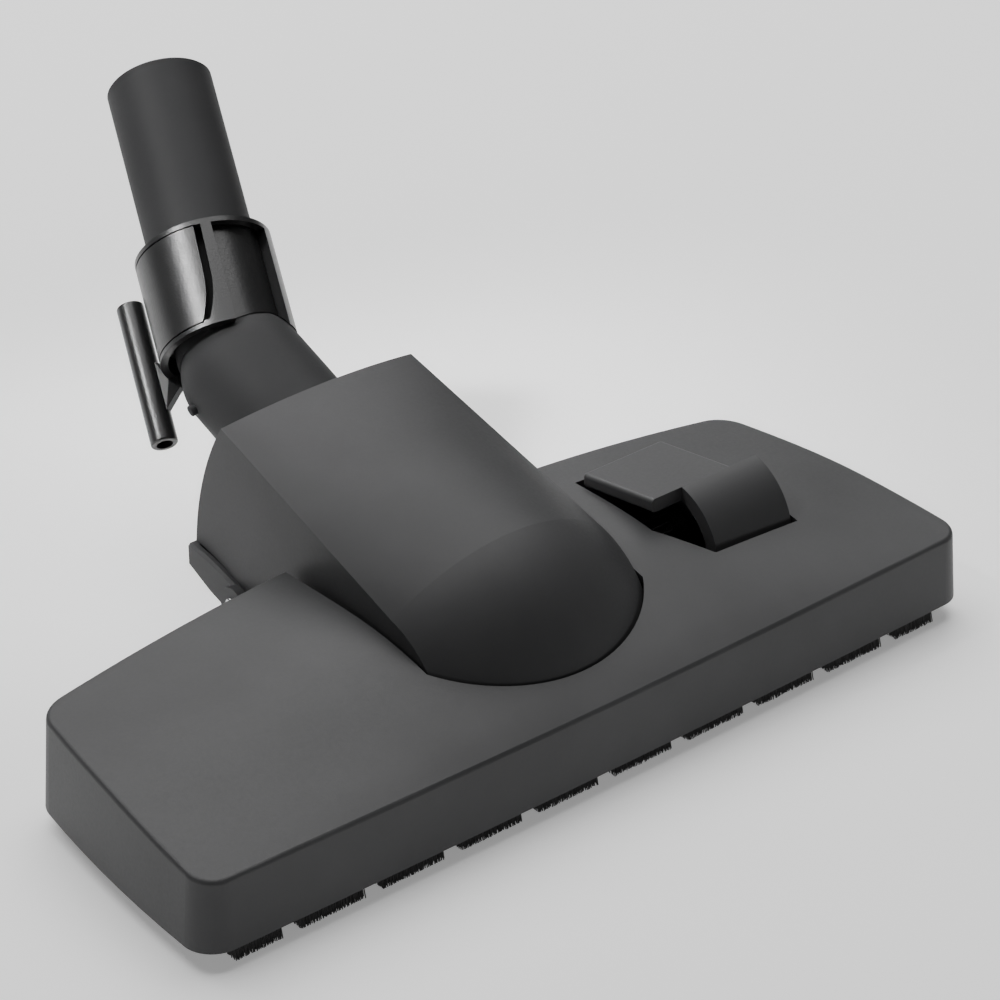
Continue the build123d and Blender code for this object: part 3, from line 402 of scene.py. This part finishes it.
@dataclass
class BristleStrip:
    """One row of filament blocks, which stands for its solid blocks."""

    node: str
    end: float
    pitch: float = 27.5 * MM
    width: float = 21.7 * MM
    spaces: int = 5
    spacing: float = 0.5 * MM
    radius: float = 0.25 * MM
    tip_taper: float = 0.8
    wander: float = 0.25
    ragged: float = 0.3 * MM
    lean: float = 0.02
    slot_exit: float = 6.4 * MM
    splay: float = 1.5 * MM
    inner_share: float = 0.45
    outward: float = -1.0
    core_margin: float = 0.35 * MM
    core_foot: float = 0.9 * MM
    seed: int = 7

    def block_ranges(self) -> list[tuple[float, float]]:
        """Work out where the blocks stand along the head.

        Returns:
            The start and end of each block.
        """
        ranges = []
        for n in range(self.spaces):
            start = (self.pitch - self.width) / 2 + n * self.pitch
            end = min(start + self.width, self.end)
            ranges += [(start, end), (-end, -start)]
        return ranges

    def add_core(self, mesh: bmesh.types.BMesh, span: tuple[float, float], low: Vector, high: Vector) -> None:
        """Fill the inside of a block, where filaments stand too close to tell apart.

        Args:
            mesh: The strip's mesh.
            span: The block's start and end along the head.
            low: Lowest corner of the strip.
            high: Highest corner of the strip.
        """
        start = Vector((span[0] + self.core_margin, low.y + self.core_margin, low.z + self.core_foot))
        end = Vector((span[1] - self.core_margin, high.y - self.core_margin, high.z))
        bmesh.ops.create_cube(mesh, size=1.0, matrix=Matrix.LocRotScale((start + end) / 2, None, end - start))

    def open_tips(self, mesh: bmesh.types.BMesh, low: Vector, high: Vector) -> None:
        """Let the tips stand outwards below the sole.

        Args:
            mesh: The strip's mesh.
            low: Lowest corner of the strip.
            high: Highest corner of the strip.
        """
        geometry = mesh.verts[:] + mesh.edges[:] + mesh.faces[:]
        bmesh.ops.bisect_plane(mesh, geom=geometry, dist=0.001 * MM, plane_co=(0, 0, self.slot_exit),
                               plane_no=(0, 0, 1))
        inner = high.y if self.outward < 0 else low.y
        for vert in mesh.verts:
            drop = max(0.0, self.slot_exit - vert.co.z) / self.slot_exit
            share = self.inner_share + (1 - self.inner_share) * abs(vert.co.y - inner) / (high.y - low.y)
            vert.co.y += self.outward * self.splay * share * drop

    def build(self, material: bpy.types.Material) -> bpy.types.Object:
        """Plant the filaments of every block.

        Args:
            material: Finish of the filaments.

        Returns:
            The strip's object.
        """
        low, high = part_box(self.node)
        dice = random.Random(self.seed)
        mesh = bmesh.new()
        rows = int((high.y - low.y) / self.spacing)
        for start, end in self.block_ranges():
            columns = int((end - start) / self.spacing)
            for i in range(columns):
                for j in range(rows):
                    x = start + (i + 0.5 + dice.uniform(-self.wander, self.wander)) * (end - start) / columns
                    y = low.y + (j + 0.5 + dice.uniform(-self.wander, self.wander)) * (high.y - low.y) / rows
                    foot = low.z + abs(dice.gauss(0, 0.4)) * self.ragged
                    depth = high.z - foot
                    turn = Matrix.Rotation(dice.uniform(-self.lean, self.lean), 4, "Y")
                    turn @= Matrix.Rotation(dice.uniform(-self.lean, self.lean), 4, "X")
                    bmesh.ops.create_cone(mesh, cap_ends=True, cap_tris=False, segments=4,
                                          radius1=self.radius * self.tip_taper, radius2=self.radius,
                                          depth=depth, matrix=Matrix.Translation((x, y, foot + depth / 2)) @ turn)
            self.add_core(mesh, (start, end), low, high)
        for vert in mesh.verts:
            vert.co.y = min(max(vert.co.y, low.y), high.y)
            vert.co.x = min(max(vert.co.x, low.x), high.x)
            vert.co.z = max(vert.co.z, low.z)
        self.open_tips(mesh, low, high)
        strip = place(mesh, self.node + "_filaments", [material])
        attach(strip, "brush_lift")
        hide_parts(self.node)
        return strip


@dataclass
class LintTapes:
    """Crowned pile tapes under the sole, one each side of the middle."""

    node: str
    inner_end: float = 30.0 * MM
    outer_end: float = 104.0 * MM
    crown: float = 0.45 * MM

    def build(self, material: bpy.types.Material) -> bpy.types.Object:
        """Shape both tapes.

        Args:
            material: Finish of the pile.

        Returns:
            The tapes' object.
        """
        low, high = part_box(self.node)
        mesh = bmesh.new()
        for side in (-1.0, 1.0):
            size = (self.outer_end - self.inner_end, high.y - low.y, high.z - low.z)
            middle = (low + high) / 2
            middle.x = side * (self.outer_end + self.inner_end) / 2
            made = bmesh.ops.create_cube(mesh, size=1.0, matrix=Matrix.LocRotScale(middle, None, size))
            edges = list({e for v in made["verts"] for e in v.link_edges
                          if all(abs(w.co.z - low.z) < 1e-6 for w in e.verts)})
            bmesh.ops.bevel(mesh, geom=edges, offset=self.crown, offset_type="OFFSET", affect="EDGES",
                            segments=3, profile=0.5, material=-1)
        tapes = place(mesh, self.node + "_pile", [material])
        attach(tapes, "head")
        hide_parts(self.node)
        return tapes


def merged_copy(packed: bpy.types.Object) -> bmesh.types.BMesh:
    """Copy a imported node's mesh and join its loose triangles.

    Args:
        packed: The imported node's object.

    Returns:
        The copy.
    """
    mesh = bmesh.new()
    mesh.from_mesh(packed.data)
    bmesh.ops.remove_doubles(mesh, verts=mesh.verts, dist=0.002 * MM)
    return mesh


def settle(mesh: bmesh.types.BMesh, name: str, materials: list[bpy.types.Material],
           crease: float = 32.0) -> bpy.types.Object:
    """Shade a mesh smooth between its creases and make it an object.

    Args:
        mesh: The mesh, which is used up.
        name: Name of the piece.
        materials: Its finishes, in the order of its faces' numbers.
        crease: Angle above which an edge stays sharp, in degrees.

    Returns:
        The object.
    """
    for face in mesh.faces:
        face.smooth = True
    for edge in mesh.edges:
        if edge.is_manifold and edge.calc_face_angle(0.0) > math.radians(crease):
            edge.smooth = False
    return place(mesh, name, materials)


@dataclass
class Collar:
    """Locking collar as packed, glossy outside; its inner walls and cut faces get a darker, duller finish as
    painted shade.
    """

    node: str = "locking_collar"
    reach: float = 22.5 * MM
    rim_slope: float = 0.7
    outside_slope: float = 0.3

    def is_inner(self, face: bmesh.types.BMFace) -> bool:
        """Tell an inner wall or a cut face from the outside.

        Args:
            face: A face of the collar.

        Returns:
            True for an inner wall or a cut face.
        """
        spoke = face.calc_center_median() - SWIVEL_POINT
        spoke -= SPIGOT_WAY * spoke.dot(SPIGOT_WAY)
        if spoke.length > self.reach or abs(face.normal.dot(SPIGOT_WAY)) > self.rim_slope:
            return False
        return face.normal.dot(spoke.normalized()) < self.outside_slope

    def build(self, packed: bpy.types.Object, outside: bpy.types.Material,
              inside: bpy.types.Material) -> bpy.types.Object:
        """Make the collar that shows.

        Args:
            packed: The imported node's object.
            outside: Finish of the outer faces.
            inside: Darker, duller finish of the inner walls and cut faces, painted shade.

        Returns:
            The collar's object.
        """
        mesh = merged_copy(packed)
        for face in mesh.faces:
            face.material_index = 1 if self.is_inner(face) else 0
        collar = settle(mesh, "collar_moulding", [outside, inside])
        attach(collar, "neck")
        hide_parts(self.node)
        return collar


@dataclass
class Neck:
    """Elbow and spigot as packed, with the small stop stud on the elbow's left."""

    node: str = "swivel_neck"
    lean: float = 23.0
    elbow_radius: float = 19.1 * MM
    stud_back: float = 9.0 * MM
    packed_turn: float = 37.0
    packed_out: float = 2.8 * MM
    cap_reach: float = 3.0 * MM
    rim_reach: float = 3.4 * MM
    shown_turn: float = -163.0
    shown_out: float = 1.7 * MM
    shown_radius: float = 1.8 * MM
    shown_taper: float = 0.94
    shown_round: float = 0.4 * MM
    sunk: float = 1.2 * MM

    def outward(self, turn: float) -> Vector:
        """Direction square to the swivel axis.

        Args:
            turn: Angle from the head's right, in degrees.

        Returns:
            The direction.
        """
        lean, angle = math.radians(self.lean), math.radians(turn)
        upright = Vector((0, -math.sin(lean), math.cos(lean)))
        return Vector((math.cos(angle), 0, 0)) + upright * math.sin(angle)

    def stud_foot(self, turn: float) -> Vector:
        """Point on the elbow's skin under a stud.

        Args:
            turn: Angle from the head's right, in degrees.

        Returns:
            The point.
        """
        lean = math.radians(self.lean)
        along = Vector((0, math.cos(lean), math.sin(lean)))
        return SWIVEL_POINT - along * self.stud_back + self.outward(turn) * self.elbow_radius

    def clear_packed_stud(self, mesh: bmesh.types.BMesh) -> None:
        """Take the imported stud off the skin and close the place.

        Args:
            mesh: The neck's merged mesh.
        """
        foot = self.stud_foot(self.packed_turn)
        top = foot + self.outward(self.packed_turn) * self.packed_out
        cap = [v for v in mesh.verts if (v.co - top).length < self.cap_reach]
        bmesh.ops.delete(mesh, geom=cap, context="VERTS")
        rim = [e for e in mesh.edges if e.is_boundary and (e.verts[0].co - foot).length < self.rim_reach]
        bmesh.ops.triangle_fill(mesh, use_beauty=True, edges=rim)
        log.info("packed stud: %d points off, %d rim edges closed", len(cap), len(rim))

    def add_stud(self, mesh: bmesh.types.BMesh) -> None:
        """Set the small stud on the elbow's left.

        Args:
            mesh: The neck's merged mesh.
        """
        way = self.outward(self.shown_turn)
        foot = self.stud_foot(self.shown_turn)
        depth = self.shown_out + self.sunk
        turn = way.to_track_quat("Z", "Y").to_matrix().to_4x4()
        made = bmesh.ops.create_cone(mesh, cap_ends=True, cap_tris=False, segments=32,
                                     radius1=self.shown_radius, radius2=self.shown_radius * self.shown_taper,
                                     depth=depth,
                                     matrix=Matrix.Translation(foot + way * (depth / 2 - self.sunk)) @ turn)
        outer = foot + way * self.shown_out
        ends = list({e for v in made["verts"] for e in v.link_edges
                     if all((w.co - outer).length < self.shown_radius for w in e.verts)})
        bmesh.ops.bevel(mesh, geom=ends, offset=self.shown_round, offset_type="OFFSET", affect="EDGES",
                        segments=3, profile=0.5, material=-1)

    def build(self, packed: bpy.types.Object, material: bpy.types.Material) -> bpy.types.Object:
        """Make the neck that shows.

        Args:
            packed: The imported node's object.
            material: Finish of the neck.

        Returns:
            The neck's object.
        """
        mesh = merged_copy(packed)
        self.clear_packed_stud(mesh)
        self.add_stud(mesh)
        bmesh.ops.recalc_face_normals(mesh, faces=mesh.faces)
        neck = settle(mesh, "neck_moulding", [material])
        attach(neck, "neck")
        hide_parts(self.node)
        return neck


@dataclass
class CollarLiner:
    """Thin ring that closes the collar's mouth round the spigot."""

    inner_radius: float = 15.75 * MM
    outer_radius: float = 18.28 * MM
    bottom: float = 34.05 * MM
    top: float = 34.85 * MM
    steps: int = 96

    def build(self, material: bpy.types.Material) -> bpy.types.Object:
        """Spin the ring's section round the spigot.

        Args:
            material: Finish of the ring, the collar's darker, duller inside finish that serves as painted shade.

        Returns:
            The ring's object.
        """
        mesh = bmesh.new()
        profile = [(self.inner_radius, self.bottom), (self.outer_radius, self.bottom),
                   (self.outer_radius, self.top), (self.inner_radius, self.top)]
        verts = [mesh.verts.new((r, 0, h)) for r, h in profile]
        edges = [mesh.edges.new((verts[n], verts[(n + 1) % 4])) for n in range(4)]
        bmesh.ops.spin(mesh, geom=verts + edges, cent=(0, 0, 0), axis=(0, 0, 1), angle=math.tau,
                       steps=self.steps, use_merge=True)
        bmesh.ops.recalc_face_normals(mesh, faces=mesh.faces)
        turn = SPIGOT_WAY.to_track_quat("Z", "Y").to_matrix().to_4x4()
        bmesh.ops.transform(mesh, matrix=Matrix.Translation(SWIVEL_POINT) @ turn, verts=mesh.verts)
        ring = settle(mesh, "collar_liner", [material])
        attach(ring, "neck")
        return ring


@dataclass(frozen=True)
class Lamp:
    """A soft square light: its place, panel in metres, power in watts, aim and beam in degrees."""

    name: str
    place: tuple[float, float, float]
    size: float
    power: float
    aim: tuple[float, float, float] = (0.0, 0.0, 0.03)
    spread: float = 180.0

    def light(self) -> None:
        """Set the lamp up."""
        data = bpy.data.lights.new(self.name, "AREA")
        data.size = self.size
        data.energy = self.power
        data.spread = math.radians(self.spread)
        lamp = bpy.data.objects.new(self.name, data)
        lamp.location = self.place
        lamp.rotation_euler = (Vector(self.aim) - Vector(self.place)).to_track_quat("-Z", "Y").to_euler()
        lamp.visible_camera = False
        bpy.context.scene.collection.objects.link(lamp)


@dataclass
class Studio:
    """Pale floor, soft lights and the photograph's camera."""

    eye: tuple[float, float, float] = (-0.6573, -0.83352, 0.62782)
    azimuth: float = 40.948
    elevation: float = 29.101
    roll: float = -0.27
    lens: float = 151.56
    film_width: float = 36.0
    floor_size: float = 12.0
    floor_tone: float = 0.93
    floor_glow: float = 0.28
    horizon_glow: float = 0.5
    air_glow: float = 0.05
    horizon_height: float = 0.1
    lamps: tuple[Lamp, ...] = (
        Lamp("key_above", (0.25, 0.6, 1.45), 2.0, 47.0),
        Lamp("left_fill", (-1.0, -0.15, 0.2), 0.4, 0.45),
        Lamp("collar_light", (-0.41, 0.265, 0.64), 0.2, 0.12, (0.0, 0.085, 0.1), 12.0),
    )

    def camera(self) -> None:
        """Place the camera and make it the scene's own."""
        data = bpy.data.cameras.new("photo_camera")
        data.lens = self.lens
        data.sensor_width = self.film_width
        data.clip_end = 20.0
        across, up = math.radians(self.azimuth), math.radians(self.elevation)
        forward = Vector((math.sin(across) * math.cos(up), math.cos(across) * math.cos(up), -math.sin(up)))
        camera = bpy.data.objects.new("photo_camera", data)
        upright = forward.to_track_quat("-Z", "Y")
        camera.rotation_euler = (upright @ Quaternion((0, 0, 1), math.radians(self.roll))).to_euler()
        camera.location = self.eye
        bpy.context.scene.collection.objects.link(camera)
        bpy.context.scene.camera = camera

    def floor(self) -> None:
        """Lay the pale floor."""
        mesh = bmesh.new()
        bmesh.ops.create_grid(mesh, x_segments=1, y_segments=1, size=self.floor_size)
        tree = NodeTree("studio_paper")
        tone = self.floor_tone
        tree.feed("Base Color", tree.ramp(tree.noise(4.0, 2.0), (tone * 0.99,) * 3, (tone,) * 3))
        tree.set("Roughness", 0.9)
        tree.set("Specular IOR Level", 0.1)
        tree.set("Emission Color", (1.0, 1.0, 1.0, 1.0))
        tree.set("Emission Strength", self.floor_glow)
        place(mesh, "studio_floor", [tree.material])

    def world(self) -> None:
        """Fill the room with dim air above a pale low backdrop."""
        world = bpy.data.worlds.new("studio_air")
        world.use_nodes = True
        nodes, links = world.node_tree.nodes, world.node_tree.links
        background = nodes["Background"]
        background.inputs["Color"].default_value = (1.0, 1.0, 1.0, 1.0)
        split = nodes.new("ShaderNodeSeparateXYZ")
        links.new(nodes.new("ShaderNodeTexCoord").outputs["Generated"], split.inputs["Vector"])
        fade = nodes.new("ShaderNodeMapRange")
        fade.inputs["From Max"].default_value = self.horizon_height
        fade.inputs["To Min"].default_value = self.horizon_glow
        fade.inputs["To Max"].default_value = self.air_glow
        links.new(split.outputs["Z"], fade.inputs["Value"])
        links.new(fade.outputs["Result"], background.inputs["Strength"])
        bpy.context.scene.world = world

    def build(self) -> None:
        """Set the studio up."""
        self.camera()
        self.floor()
        self.world()
        for lamp in self.lamps:
            lamp.light()
        log.info("studio ready")


def main() -> None:
    """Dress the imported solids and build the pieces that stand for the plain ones."""
    logging.basicConfig(level=logging.INFO, format="%(name)s: %(message)s")
    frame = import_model()
    Studio().build()
    solids = CarriedSolids()
    finishes = solids.dress(frame["nodes"])
    Neck().build(frame["nodes"]["swivel_neck"], finishes[solids.neck.name])
    # Painted shade: the darker, duller finish of the collar's inner walls, cut faces and liner.
    inside_shade = solids.collar_inside_shade.make()
    Collar().build(frame["nodes"]["locking_collar"], finishes[solids.collar.name], inside_shade)
    CollarLiner().build(inside_shade)
    filament = Filament("black_filament").make()
    BristleStrip("front_bristles", end=128.5 * MM).build(filament)
    BristleStrip("rear_bristles", end=122.0 * MM, outward=1.0, seed=11).build(filament)
    pile = PileTape("lint_pile").make()
    LintTapes("front_lint_strips").build(pile)
    LintTapes("rear_lint_strips").build(pile)


if __name__ == "__main__":
    main()
